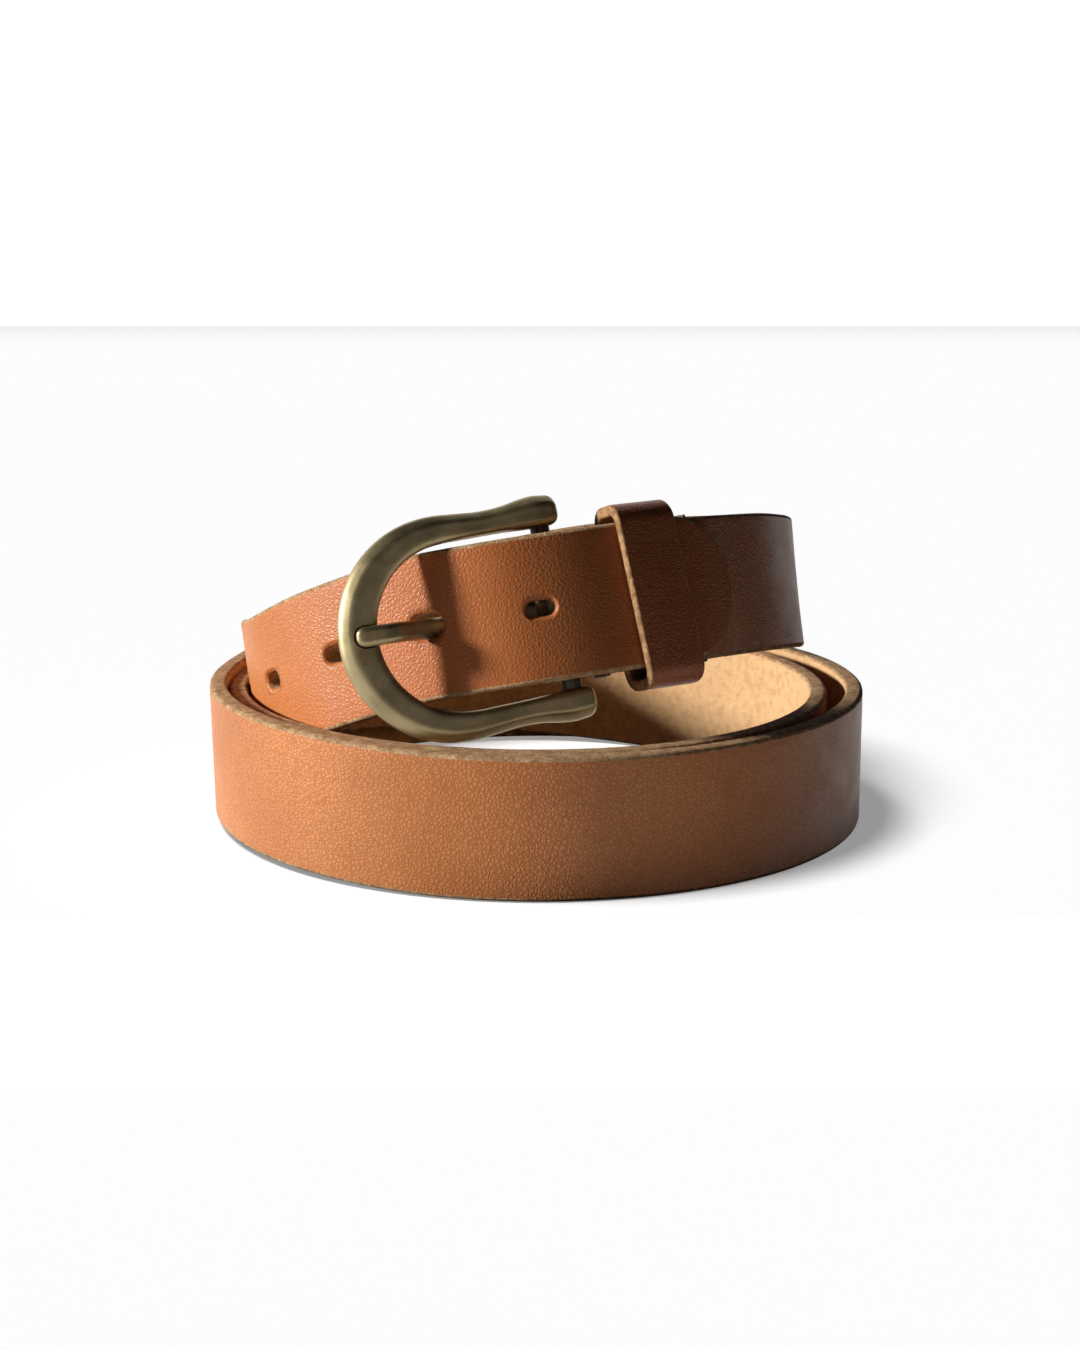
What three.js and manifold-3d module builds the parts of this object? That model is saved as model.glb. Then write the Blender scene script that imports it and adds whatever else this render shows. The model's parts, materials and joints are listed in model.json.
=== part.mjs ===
// A leather belt, buckled and wound three times into a coil that lies on the ground.
// Units are millimetres, +Z is up, and the ring of the coil is centred on the Z axis.
// Seen from above, turns are counted anticlockwise from +X, and the front of the coil faces -Y.

import * as THREE from 'three';
import { mergeVertices } from 'three/addons/utils/BufferGeometryUtils.js';
import Module from 'manifold-3d';

const wasm = await Module();
wasm.setup();

// ---------------------------------------------------------------- driving dimensions

const STRAP_WIDTH = 30;
const STRAP_THICKNESS = 3.8;
const EDGE_BEVEL = 0.6;
const LAYER_GAP = 0.3;
const LAYER_PITCH = STRAP_THICKNESS + LAYER_GAP;
const SKIVED_THICKNESS = 2.4;
const HALF_SKIVED_THICKNESS = 3.2;
const SWEEP_STEP = 6.5;

// The upper loop, round which the buckled ends close, is a leaning cylinder.
const LOOP_CENTRE = new THREE.Vector3(-4.5, -1, 43);
const LOOP_LEAN = 16;
const LOOP_LEAN_HEADING = 124;
const TIP_LAYER_RADIUS = 60.1;
const BUCKLE_LAYER_RADIUS = TIP_LAYER_RADIUS - LAYER_PITCH;

// Angles round the loop, in degrees, and distances along the strap.
const BAR_ANGLE = -81;
const TIP_ANGLE = -42.2;
const TIP_LAYER_START_ANGLE = -83;
const BUCKLE_LAYER_END_ANGLE = -36;
const TIP_TO_FIRST_HOLE = 45.3;
const HOLE_PITCH = 23.4;
const HOLE_COUNT = 5;
const HOLE_LENGTH = 8.4;
const HOLE_WIDTH = 5.6;
const PUNCH_OVERSHOOT = 0.27;

// Heel bar and the fold of leather round it.
const BAR_RADIUS = 2;
const BAR_HALF_LENGTH = 20;
const BAR_SKEW = 3;
const PRONG_SKEW = 0.8;
const FOLD_CLEARANCE = 0.3;
const FOLD_MID_RADIUS = BAR_RADIUS + FOLD_CLEARANCE + STRAP_THICKNESS / 2;
const BAR_LOOP_RADIUS = BUCKLE_LAYER_RADIUS - FOLD_MID_RADIUS;
const PRONG_SLOT_WIDTH = 5.6;
const PRONG_SLOT_FROM = -10;
const PRONG_SLOT_TO = 6.2;

// Buckle frame: a horseshoe whose arms carry the heel bar.
const FRAME_OUTER_HALF_WIDTH = 23.2;
const FRAME_INNER_HALF_WIDTH = 17.3;
const BOW_OUTER_CENTRE = 22.9;
const BOW_INNER_CENTRE = 20.9;
const FRAME_HALF_THICKNESS = 2.25;
const ARM_END_HALF_THICKNESS = 2.9;
const FRAME_LIFT = 7.5;
const NOTCH_DEPTH = 1.3;
const NOTCH_END = 43.4;

// Prong.
const PRONG_WIDTH = 4.1;
const PRONG_THICKNESS = 2.4;
const PRONG_BEVEL = 0.75;
const CURL_OUTER_RADIUS = 4.4;
const CURL_INNER_RADIUS = BAR_RADIUS + 0.3;

// Keeper and its staple.
const KEEPER_ANGLE = BAR_ANGLE + 18.7;
const KEEPER_SKEW = 3.4;
const KEEPER_WIDTH = 12.4;
const KEEPER_THICKNESS = 2.3;
const KEEPER_HALF_HEIGHT = 18.05;
const KEEPER_DROP = 0.4;
const KEEPER_CORNER_RADIUS = 3.2;
const KEEPER_SEAM_GAP = 0.3;
const STAPLE_HALF_SPAN = 3.3;
const STAPLE_WIRE = 0.5;
const STAPLE_CLEARANCE = 0.15;

// Stitch rows, at distances from the heel bar along the strap, and the folded-back end's
// middle radius at each.
const BAR_SIDE_ROW = 7.6;
const BAR_SIDE_ROW_RADIUS = BUCKLE_LAYER_RADIUS - 6.1;
const KEEPER_SIDE_ROW = 31;
const KEEPER_SIDE_ROW_RADIUS = BUCKLE_LAYER_RADIUS - 4.6;
const STITCHES_PER_ROW = 6;
const STITCH_PITCH = 4.8;
const THREAD_SIZE = 0.7;
const STITCH_HOLE_RADIUS = 0.7;
const THREAD_EDGE_REACH = 15.9;
const THREAD_INSET = 0.1;
const THREAD_GROOVE_DEPTH = 0.95;
const THREAD_GROOVE_HALF_ANGLE = 0.8;

// ---------------------------------------------------------------- frames and places

const radians = THREE.MathUtils.degToRad;

const loopAxis = new THREE.Vector3(
  Math.sin(radians(LOOP_LEAN)) * Math.cos(radians(LOOP_LEAN_HEADING)),
  Math.sin(radians(LOOP_LEAN)) * Math.sin(radians(LOOP_LEAN_HEADING)),
  Math.cos(radians(LOOP_LEAN)),
);
const loopRight = new THREE.Vector3(1, 0, 0).addScaledVector(loopAxis, -loopAxis.x).normalize();
const loopBack = new THREE.Vector3().crossVectors(loopAxis, loopRight);

// A direction straight out from the loop's axis at an angle round it.
function loopOutward(angle) {
  return new THREE.Vector3()
    .addScaledVector(loopRight, Math.cos(radians(angle)))
    .addScaledVector(loopBack, Math.sin(radians(angle)));
}

// A point of the loop at an angle, a radius and a place across the strap.
function loopPoint(angle, radius, across = 0) {
  return LOOP_CENTRE.clone()
    .addScaledVector(loopOutward(angle), radius)
    .addScaledVector(loopAxis, across);
}

// The angle round the loop that lies a distance to the right of the heel bar.
function angleFromBar(distance) {
  return BAR_ANGLE + THREE.MathUtils.radToDeg(distance / BUCKLE_LAYER_RADIUS);
}

// A point of the ring at a turn, a radius from the Z axis and a height.
function ringPoint(turn, radius, height) {
  return new THREE.Vector3(
    radius * Math.cos(radians(turn)),
    radius * Math.sin(radians(turn)),
    height,
  );
}

// The strap's width direction in the ring, leaning outwards at its top by some degrees.
function ringAcross(turn, lean) {
  return new THREE.Vector3(
    Math.sin(radians(lean)) * Math.cos(radians(turn)),
    Math.sin(radians(lean)) * Math.sin(radians(turn)),
    Math.cos(radians(lean)),
  );
}

// The heel bar's own frame: x towards the bow, y outwards, z along the bar.
// The bar sits a little askew in its fold, and the frame is lifted by some degrees about it.
function barFrame(lift, skew = BAR_SKEW) {
  const outward = loopOutward(BAR_ANGLE);
  const toBow = new THREE.Vector3().crossVectors(outward, loopAxis);
  return new THREE.Matrix4()
    .makeBasis(toBow, outward, loopAxis)
    .setPosition(loopPoint(BAR_ANGLE, BAR_LOOP_RADIUS))
    .multiply(new THREE.Matrix4().makeRotationY(radians(skew)))
    .multiply(new THREE.Matrix4().makeRotationZ(radians(lift)));
}

// ---------------------------------------------------------------- closed meshes and solids

// Joins rings of equal length into one closed surface; open runs get flat end caps.
function skin(rings, closed = false) {
  const count = rings[0].length;
  const positions = rings.flat().flatMap((point) => point.toArray());
  const index = [];
  const last = closed ? rings.length : rings.length - 1;
  for (let i = 0; i < last; i++) {
    const here = i * count;
    const next = ((i + 1) % rings.length) * count;
    for (let j = 0; j < count; j++) {
      const k = (j + 1) % count;
      index.push(here + j, here + k, next + k, here + j, next + k, next + j);
    }
  }
  if (!closed) {
    const end = (rings.length - 1) * count;
    for (let j = 1; j < count - 1; j++) {
      index.push(0, j + 1, j, end, end + j, end + j + 1);
    }
  }
  const geometry = new THREE.BufferGeometry();
  geometry.setAttribute('position', new THREE.Float32BufferAttribute(positions, 3));
  geometry.setIndex(index);
  return facingOut(geometry);
}

// Turns every triangle over when the surface encloses a negative volume.
function facingOut(geometry) {
  const position = geometry.attributes.position;
  const index = geometry.index;
  const [a, b, c] = [new THREE.Vector3(), new THREE.Vector3(), new THREE.Vector3()];
  let volume = 0;
  for (let i = 0; i < index.count; i += 3) {
    a.fromBufferAttribute(position, index.getX(i));
    b.fromBufferAttribute(position, index.getX(i + 1));
    c.fromBufferAttribute(position, index.getX(i + 2));
    volume += a.dot(b.cross(c));
  }
  if (volume < 0) {
    for (let i = 0; i < index.count; i += 3) {
      const first = index.getX(i);
      index.setX(i, index.getX(i + 1));
      index.setX(i + 1, first);
    }
  }
  return geometry;
}

function toSolid(geometry) {
  const bare = geometry.clone();
  bare.deleteAttribute('normal');
  bare.deleteAttribute('uv');
  const welded = mergeVertices(bare, 1e-5);
  return new wasm.Manifold(new wasm.Mesh({
    numProp: 3,
    vertProperties: new Float32Array(welded.attributes.position.array),
    triVerts: new Uint32Array(welded.index.array),
  }));
}

function toGeometry(solid) {
  const mesh = solid.getMesh();
  const geometry = new THREE.BufferGeometry();
  geometry.setAttribute('position', new THREE.BufferAttribute(mesh.vertProperties, 3));
  geometry.setIndex(new THREE.BufferAttribute(mesh.triVerts, 1));
  return geometry;
}

// A block bounded by two radii and two angles round the loop, and two places across it.
function loopBlock(innerRadius, outerRadius, fromAngle, toAngle, low, high) {
  const steps = Math.max(1, Math.ceil(Math.abs(toAngle - fromAngle) / 4));
  const rings = [];
  for (let i = 0; i <= steps; i++) {
    const angle = THREE.MathUtils.lerp(fromAngle, toAngle, i / steps);
    rings.push([
      loopPoint(angle, innerRadius, low),
      loopPoint(angle, outerRadius, low),
      loopPoint(angle, outerRadius, high),
      loopPoint(angle, innerRadius, high),
    ]);
  }
  return toSolid(skin(rings));
}

function material(color, roughness, metalness) {
  return new THREE.MeshStandardMaterial({ color, roughness, metalness });
}

const grainLeather = material(0xb4683a, 0.55, 0);
const keeperLeather = material(0x8c4f2c, 0.55, 0);
const antiqueBrass = material(0x6b6544, 0.38, 0.9);
const plainSteel = material(0x8d9095, 0.35, 0.9);
const waxedThread = material(0x4a3a2a, 0.8, 0);

// ---------------------------------------------------------------- the strap's route

// Each station is a place on the strap's middle line, its width direction and its thickness.
function loopStation(angle, radius, thickness = STRAP_THICKNESS, across = 0) {
  return { point: loopPoint(angle, radius, across), across: loopAxis.clone(), thickness };
}

function ringStation([turn, radius, height, lean = 0]) {
  return {
    point: ringPoint(turn, radius, height),
    across: ringAcross(turn, lean),
    thickness: STRAP_THICKNESS,
  };
}

// The folded-back end, from its cut edge to the bar: distance from the bar, and radius.
const foldBack = [
  [37, BUCKLE_LAYER_RADIUS - 3.6],
  [34, BUCKLE_LAYER_RADIUS - 3.7],
  [KEEPER_SIDE_ROW, KEEPER_SIDE_ROW_RADIUS],
  [28, BUCKLE_LAYER_RADIUS - 5.95],
  [19, BUCKLE_LAYER_RADIUS - 5.95],
  [10, BUCKLE_LAYER_RADIUS - 5.95],
  [7, BAR_SIDE_ROW_RADIUS],
];
const THICK_FOLD_DISTANCE = 3.5;
const THICK_FOLD_RADIUS = BUCKLE_LAYER_RADIUS - 7.4;

// Where the buckle layer leaves the loop for the ring: angle and radius.
const loopExit = [
  [-22, BUCKLE_LAYER_RADIUS + 2.4],
  [-7, BUCKLE_LAYER_RADIUS + 4.9],
];

// The ring: turn in degrees, radius of the middle line, height, and outward lean at the top.
const outerTurn = [
  [9, 58.3, 50.8, -5],
  [20, 60.9, 49, -3],
  [30, 65.4, 47.2, 0],
  [40, 70.8, 45.7, 0],
  [51, 73.5, 44.2, 0],
  [64, 73.5, 42.4, 0],
  [79, 73.1, 39.8, 0],
  [95, 72.5, 36.0, 0],
  [115, 72.5, 28.6, 0],
  [136, 72.6, 21.6, 0],
  [157, 72.8, 17.3, 0],
  [180, 72.8, 16.3, 1],
  [205, 72.3, 16.2, 1],
  [230, 71.9, 15.9, 0],
  [252, 71.7, 15.25, 0],
  [270, 71.6, 15.05, 0],
  [292, 71.6, 15, 0],
  [315, 71.7, 15, 0],
];
const middleTurn = [
  [338, 71.7, 15, 0],
  [360, 71.6, 15, 0],
  [382, 70.9, 15, 0],
  [405, 69.4, 15, 0],
  [428, 68.5, 15, 0],
  [452, 68.3, 15, 0],
  [480, 68.3, 15, 0],
  [510, 68.4, 15, 0],
  [540, 68.5, 15, 0],
  [565, 68.1, 15, 0],
  [590, 67.7, 15, 0],
  [612, 67.5, 15, 0],
  [630, 67.4, 15, 0],
];
const innerTurn = [
  [650, 67.2, 15, 0],
  [672, 66.4, 15, 0],
  [696, 64.8, 15, 0],
  [720, 63.0, 15, 0],
  [745, 61.6, 15, 0],
  [770, 61.8, 15.15, 0],
  [795, 63.2, 15.8, 0],
  [820, 64.0, 18.2, 0],
  [848, 64.1, 21.6, 2],
  [876, 64.2, 25, 4],
  [900, 64.2, 28.8, 6],
  [922, 63.2, 34.2, 6],
];

// Under the bow the tip end is pressed in and hangs lower: angle, dip inwards and drop.
const underBow = [
  [-139, 2.6, 2.9],
  [-128, 3.4, 1.7],
  [-117, 3.3, 0.6],
  [-108, 2.5, 0],
  [-100, 1.3, 0],
  [-92, 0.3, 0],
];

const LOOP_STATION_STEP = 10;

function strapStations() {
  const stations = foldBack.map(([distance, radius]) => (
    loopStation(angleFromBar(distance), radius, SKIVED_THICKNESS)
  ));
  stations.push(loopStation(
    angleFromBar(THICK_FOLD_DISTANCE), THICK_FOLD_RADIUS, HALF_SKIVED_THICKNESS,
  ));

  const bar = barFrame(0);
  const alongBar = new THREE.Vector3().setFromMatrixColumn(bar, 2);
  const foldSteps = 8;
  for (let i = 0; i <= foldSteps; i++) {
    const turn = radians(-90 + (180 * i) / foldSteps);
    const place = new THREE.Vector3(Math.cos(turn), Math.sin(turn), 0);
    stations.push({
      point: place.multiplyScalar(FOLD_MID_RADIUS).applyMatrix4(bar),
      across: alongBar.clone(),
      thickness: STRAP_THICKNESS,
    });
  }

  const layerStart = BAR_ANGLE + LOOP_STATION_STEP / 2;
  for (let angle = layerStart; angle <= BUCKLE_LAYER_END_ANGLE; angle += LOOP_STATION_STEP) {
    stations.push(loopStation(angle, BUCKLE_LAYER_RADIUS));
  }
  stations.push(...loopExit.map(([angle, radius]) => loopStation(angle, radius)));
  stations.push(...[...outerTurn, ...middleTurn, ...innerTurn].map(ringStation));

  for (const [angle, dip, drop] of underBow) {
    stations.push(loopStation(angle, TIP_LAYER_RADIUS - dip, STRAP_THICKNESS, -drop));
  }
  for (let angle = TIP_LAYER_START_ANGLE; angle < TIP_ANGLE - 4; angle += LOOP_STATION_STEP) {
    stations.push(loopStation(angle, TIP_LAYER_RADIUS));
  }
  stations.push(loopStation(TIP_ANGLE, TIP_LAYER_RADIUS));
  return stations;
}

// A smooth curve through the stations, with slopes taken from each station's two neighbours.
class StrapRoute {
  constructor(stations) {
    this.stations = stations;
    this.lengths = [0];
    for (let i = 1; i < stations.length; i++) {
      const chord = stations[i].point.distanceTo(stations[i - 1].point);
      this.lengths.push(this.lengths[i - 1] + chord);
    }
    this.total = this.lengths[this.lengths.length - 1];
    this.pointSlopes = this.slopes('point');
    this.acrossSlopes = this.slopes('across');
  }

  slopes(key) {
    const { stations, lengths } = this;
    const last = stations.length - 1;
    const chordSlope = (i) => (
      stations[i + 1][key].clone().sub(stations[i][key]).divideScalar(lengths[i + 1] - lengths[i])
    );
    return stations.map((station, i) => {
      if (i === 0) return chordSlope(0);
      if (i === last) return chordSlope(last - 1);
      const before = lengths[i] - lengths[i - 1];
      const after = lengths[i + 1] - lengths[i];
      return chordSlope(i - 1).multiplyScalar(after)
        .addScaledVector(chordSlope(i), before)
        .divideScalar(before + after);
    });
  }

  // The strap's frame at a distance along the route: place, directions and thickness.
  at(distance) {
    const { stations, lengths } = this;
    const clamped = THREE.MathUtils.clamp(distance, 0, this.total);
    let i = lengths.findIndex((length, k) => k > 0 && clamped <= length) - 1;
    i = THREE.MathUtils.clamp(i, 0, stations.length - 2);
    const span = lengths[i + 1] - lengths[i];
    const t = (clamped - lengths[i]) / span;
    const hermite = (key, slopes) => new THREE.Vector3()
      .addScaledVector(stations[i][key], (1 + 2 * t) * (1 - t) ** 2)
      .addScaledVector(slopes[i], span * t * (1 - t) ** 2)
      .addScaledVector(stations[i + 1][key], t * t * (3 - 2 * t))
      .addScaledVector(slopes[i + 1], span * t * t * (t - 1));
    const tangent = new THREE.Vector3()
      .addScaledVector(stations[i].point, (6 * t * t - 6 * t) / span)
      .addScaledVector(this.pointSlopes[i], 3 * t * t - 4 * t + 1)
      .addScaledVector(stations[i + 1].point, (6 * t - 6 * t * t) / span)
      .addScaledVector(this.pointSlopes[i + 1], 3 * t * t - 2 * t)
      .normalize();
    const across = hermite('across', this.acrossSlopes);
    across.addScaledVector(tangent, -across.dot(tangent)).normalize();
    return {
      point: hermite('point', this.pointSlopes),
      along: tangent,
      across,
      grain: new THREE.Vector3().crossVectors(tangent, across),
      thickness: THREE.MathUtils.lerp(stations[i].thickness, stations[i + 1].thickness, t),
    };
  }
}

const route = new StrapRoute(strapStations());

// ---------------------------------------------------------------- strap

// The strap's bevelled section at a distance along the route.
function strapSection(distance, halfWidth) {
  const { point, across, grain, thickness } = route.at(distance);
  const depth = thickness / 2;
  const bevel = Math.min(EDGE_BEVEL, halfWidth / 2);
  const corners = [
    [halfWidth - bevel, depth],
    [halfWidth, depth - bevel],
    [halfWidth, bevel - depth],
    [halfWidth - bevel, -depth],
    [bevel - halfWidth, -depth],
    [-halfWidth, bevel - depth],
    [-halfWidth, depth - bevel],
    [bevel - halfWidth, depth],
  ];
  return corners.map(([width, height]) => (
    point.clone().addScaledVector(across, width).addScaledVector(grain, height)
  ));
}

function strapBlank() {
  const half = STRAP_WIDTH / 2;
  const rings = [];
  const bodyEnd = route.total - half;
  for (let i = 0; i < route.stations.length - 1; i++) {
    const from = route.lengths[i];
    const span = Math.min(route.lengths[i + 1], bodyEnd) - from;
    if (span <= 0) break;
    const steps = Math.max(1, Math.round(span / SWEEP_STEP));
    for (let k = 0; k < steps; k++) {
      rings.push(strapSection(from + (span * k) / steps, half));
    }
  }
  // The round tip narrows along a half circle.
  for (const turn of [90, 72, 56, 42, 29, 17, 6]) {
    const reach = half * Math.cos(radians(turn));
    rings.push(strapSection(bodyEnd + reach, half * Math.sin(radians(turn))));
  }
  return toSolid(skin(rings));
}

// An oval punch through the strap at a distance from its tip.
function holePunch(tipDistance) {
  const { point, along, across, grain } = route.at(route.total - tipDistance);
  const end = (HOLE_LENGTH - HOLE_WIDTH) / 2;
  const oval = new THREE.Shape();
  oval.absarc(end, 0, HOLE_WIDTH / 2, -Math.PI / 2, Math.PI / 2, false);
  oval.absarc(-end, 0, HOLE_WIDTH / 2, Math.PI / 2, (3 * Math.PI) / 2, false);
  oval.closePath();
  const depth = STRAP_THICKNESS + 2 * PUNCH_OVERSHOOT;
  const punch = new THREE.ExtrudeGeometry(oval, { depth, bevelEnabled: false, curveSegments: 6 });
  punch.translate(0, 0, -depth / 2);
  punch.applyMatrix4(new THREE.Matrix4().makeBasis(along, across, grain).setPosition(point));
  return toSolid(punch);
}

function stitchPlaces() {
  const first = (-STITCH_PITCH * (STITCHES_PER_ROW - 1)) / 2;
  return Array.from({ length: STITCHES_PER_ROW }, (_, i) => first + i * STITCH_PITCH);
}

const layerOuterRadius = BUCKLE_LAYER_RADIUS + STRAP_THICKNESS / 2;
const betweenLayersRadius = layerOuterRadius + LAYER_GAP / 2;
// Well inside the folded-back end, where the cutters through the fold start.
const insideFoldRadius = BUCKLE_LAYER_RADIUS - 12;

// A round cutter along the loop's radius.
function radialCylinder(angle, across, fromRadius, toRadius, radius) {
  const cylinder = new THREE.CylinderGeometry(radius, radius, toRadius - fromRadius, 8);
  const outward = loopOutward(angle);
  const along = new THREE.Vector3().crossVectors(outward, loopAxis);
  const centre = loopPoint(angle, (fromRadius + toRadius) / 2, across);
  cylinder.applyMatrix4(new THREE.Matrix4().makeBasis(along, outward, loopAxis).setPosition(centre));
  return toSolid(cylinder);
}

function strap() {
  let solid = strapBlank();
  for (let i = 0; i < HOLE_COUNT; i++) {
    solid = solid.subtract(holePunch(TIP_TO_FIRST_HOLE + i * HOLE_PITCH));
  }
  const slotHalf = PRONG_SLOT_WIDTH / 2;
  solid = solid.subtract(loopBlock(
    insideFoldRadius,
    betweenLayersRadius,
    BAR_ANGLE + PRONG_SLOT_FROM,
    BAR_ANGLE + PRONG_SLOT_TO,
    -slotHalf,
    slotHalf,
  ));
  for (const row of [BAR_SIDE_ROW, KEEPER_SIDE_ROW]) {
    const angle = angleFromBar(row);
    for (const across of stitchPlaces()) {
      const hole = radialCylinder(
        angle, across, insideFoldRadius, betweenLayersRadius, STITCH_HOLE_RADIUS,
      );
      solid = solid.subtract(hole);
    }
    solid = solid.subtract(loopBlock(
      layerOuterRadius - THREAD_GROOVE_DEPTH,
      betweenLayersRadius,
      angle - THREAD_GROOVE_HALF_ANGLE,
      angle + THREAD_GROOVE_HALF_ANGLE,
      -STRAP_WIDTH,
      STRAP_WIDTH,
    ));
  }
  return toGeometry(solid);
}

// ---------------------------------------------------------------- stitch rows

// One row of thread: a run on each face, a turn over each edge, and a leg in each hole.
function stitchRow(distance, foldBackRadius) {
  const angle = angleFromBar(distance);
  const halfTurn = THREE.MathUtils.radToDeg(THREAD_SIZE / 2 / BUCKLE_LAYER_RADIUS);
  const outerTop = layerOuterRadius - THREAD_INSET;
  const innerBottom = foldBackRadius - SKIVED_THICKNESS / 2 - 2 * LAYER_GAP - THREAD_SIZE;
  const strip = (low, high, fromAcross, toAcross) => (
    loopBlock(low, high, angle - halfTurn, angle + halfTurn, fromAcross, toAcross)
  );
  const reach = THREAD_EDGE_REACH;
  let solid = strip(outerTop - THREAD_SIZE, outerTop, -reach, reach)
    .add(strip(innerBottom, innerBottom + THREAD_SIZE, -reach, reach))
    .add(strip(innerBottom, outerTop, reach + THREAD_INSET - THREAD_SIZE, reach))
    .add(strip(innerBottom, outerTop, -reach, THREAD_SIZE - THREAD_INSET - reach));
  for (const across of stitchPlaces()) {
    solid = solid.add(radialCylinder(
      angle, across, innerBottom + THREAD_INSET, outerTop - THREAD_INSET, THREAD_SIZE / 2,
    ));
  }
  return toGeometry(solid);
}

// ---------------------------------------------------------------- buckle frame and heel bar

// Stations along the lower arm, from its round end to the bow: x, outer and inner half width,
// and half thickness, with the end's rounding in the first three.
const armStations = [
  [-4.2, 21.4, 18.6, 1.1],
  [-3.7, 22.6, 17.5, 2.2],
  [-2.4, 23.3, 17, 2.75],
  [-0.2, 23.6, 16.9, ARM_END_HALF_THICKNESS],
  [3, 23.4, 17, 2.8],
  [7, 22.7, 17.2, 2.5],
  [12, 22.4, FRAME_INNER_HALF_WIDTH, FRAME_HALF_THICKNESS],
  [17, 22.8, FRAME_INNER_HALF_WIDTH, FRAME_HALF_THICKNESS],
];
const BOW_STEPS = 18;
const FRAME_SECTION_POINTS = 12;
const FRAME_SECTION_SQUARENESS = 2.8;

// A rounded-square section between an inner and an outer point of the frame's plan.
function frameSection(inner, outer, halfThickness) {
  const centre = inner.clone().add(outer).multiplyScalar(0.5);
  const half = outer.clone().sub(inner).multiplyScalar(0.5);
  const ring = [];
  for (let i = 0; i < FRAME_SECTION_POINTS; i++) {
    const turn = (2 * Math.PI * (i + 0.5)) / FRAME_SECTION_POINTS;
    const power = 2 / FRAME_SECTION_SQUARENESS;
    const width = Math.sign(Math.cos(turn)) * Math.abs(Math.cos(turn)) ** power;
    const height = Math.sign(Math.sin(turn)) * Math.abs(Math.sin(turn)) ** power;
    const point = centre.clone().addScaledVector(half, width);
    point.y += halfThickness * height;
    ring.push(point);
  }
  return ring;
}

// The frame's plan lies in x and z of the bar frame; y is its thickness.
function buckleFrame() {
  const arm = (side) => armStations.map(([x, outer, inner, thickness]) => frameSection(
    new THREE.Vector3(x, 0, side * inner),
    new THREE.Vector3(x, 0, side * outer),
    thickness,
  ));
  const bow = [];
  for (let i = 0; i <= BOW_STEPS; i++) {
    const turn = -Math.PI / 2 + (Math.PI * i) / BOW_STEPS;
    const place = (centre, radius) => new THREE.Vector3(
      centre + radius * Math.cos(turn), 0, radius * Math.sin(turn),
    );
    bow.push(frameSection(
      place(BOW_INNER_CENTRE, FRAME_INNER_HALF_WIDTH),
      place(BOW_OUTER_CENTRE, FRAME_OUTER_HALF_WIDTH),
      FRAME_HALF_THICKNESS,
    ));
  }
  let solid = toSolid(skin([...arm(-1), ...bow, ...arm(1).reverse()]));
  const bore = new THREE.CylinderGeometry(BAR_RADIUS + 0.06, BAR_RADIUS + 0.06, 1, 24);
  bore.rotateX(Math.PI / 2).scale(1, 1, 2 * (BAR_HALF_LENGTH + LAYER_GAP));
  solid = solid.subtract(toSolid(bore)).subtract(toSolid(notchCutter()));
  return toGeometry(solid);
}

// The seat in the bow that holds the prong's tip.
function notchCutter() {
  const half = PRONG_WIDTH / 2 + LAYER_GAP;
  const seat = new THREE.Shape();
  seat.moveTo(NOTCH_END - 9, -half);
  seat.lineTo(NOTCH_END - half, -half);
  seat.absarc(NOTCH_END - half, 0, half, -Math.PI / 2, Math.PI / 2, false);
  seat.lineTo(NOTCH_END - 9, half);
  seat.closePath();
  const cutter = new THREE.ExtrudeGeometry(seat, { depth: 4, bevelEnabled: false, curveSegments: 8 });
  cutter.rotateX(-Math.PI / 2);
  cutter.translate(0, FRAME_HALF_THICKNESS - NOTCH_DEPTH, 0);
  cutter.rotateY(radians(PRONG_SKEW - BAR_SKEW));
  return cutter;
}

function heelBar() {
  const bar = new THREE.CylinderGeometry(BAR_RADIUS, BAR_RADIUS, 2 * BAR_HALF_LENGTH, 24);
  return bar.rotateX(Math.PI / 2);
}

// ---------------------------------------------------------------- prong

// The prong's side view: its middle line runs from the curl, up through the hole in the
// strap, and along the bow's seat.
const prongLine = new THREE.SplineCurve([
  new THREE.Vector2(3.4, 0),
  new THREE.Vector2(10, -1),
  new THREE.Vector2(17, -2.3),
  new THREE.Vector2(22.8, -2.5),
  new THREE.Vector2(27.4, 0.2),
  new THREE.Vector2(31.2, 4),
  new THREE.Vector2(34.9, 7.2),
  new THREE.Vector2(40.2, 7.9),
]);

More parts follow.
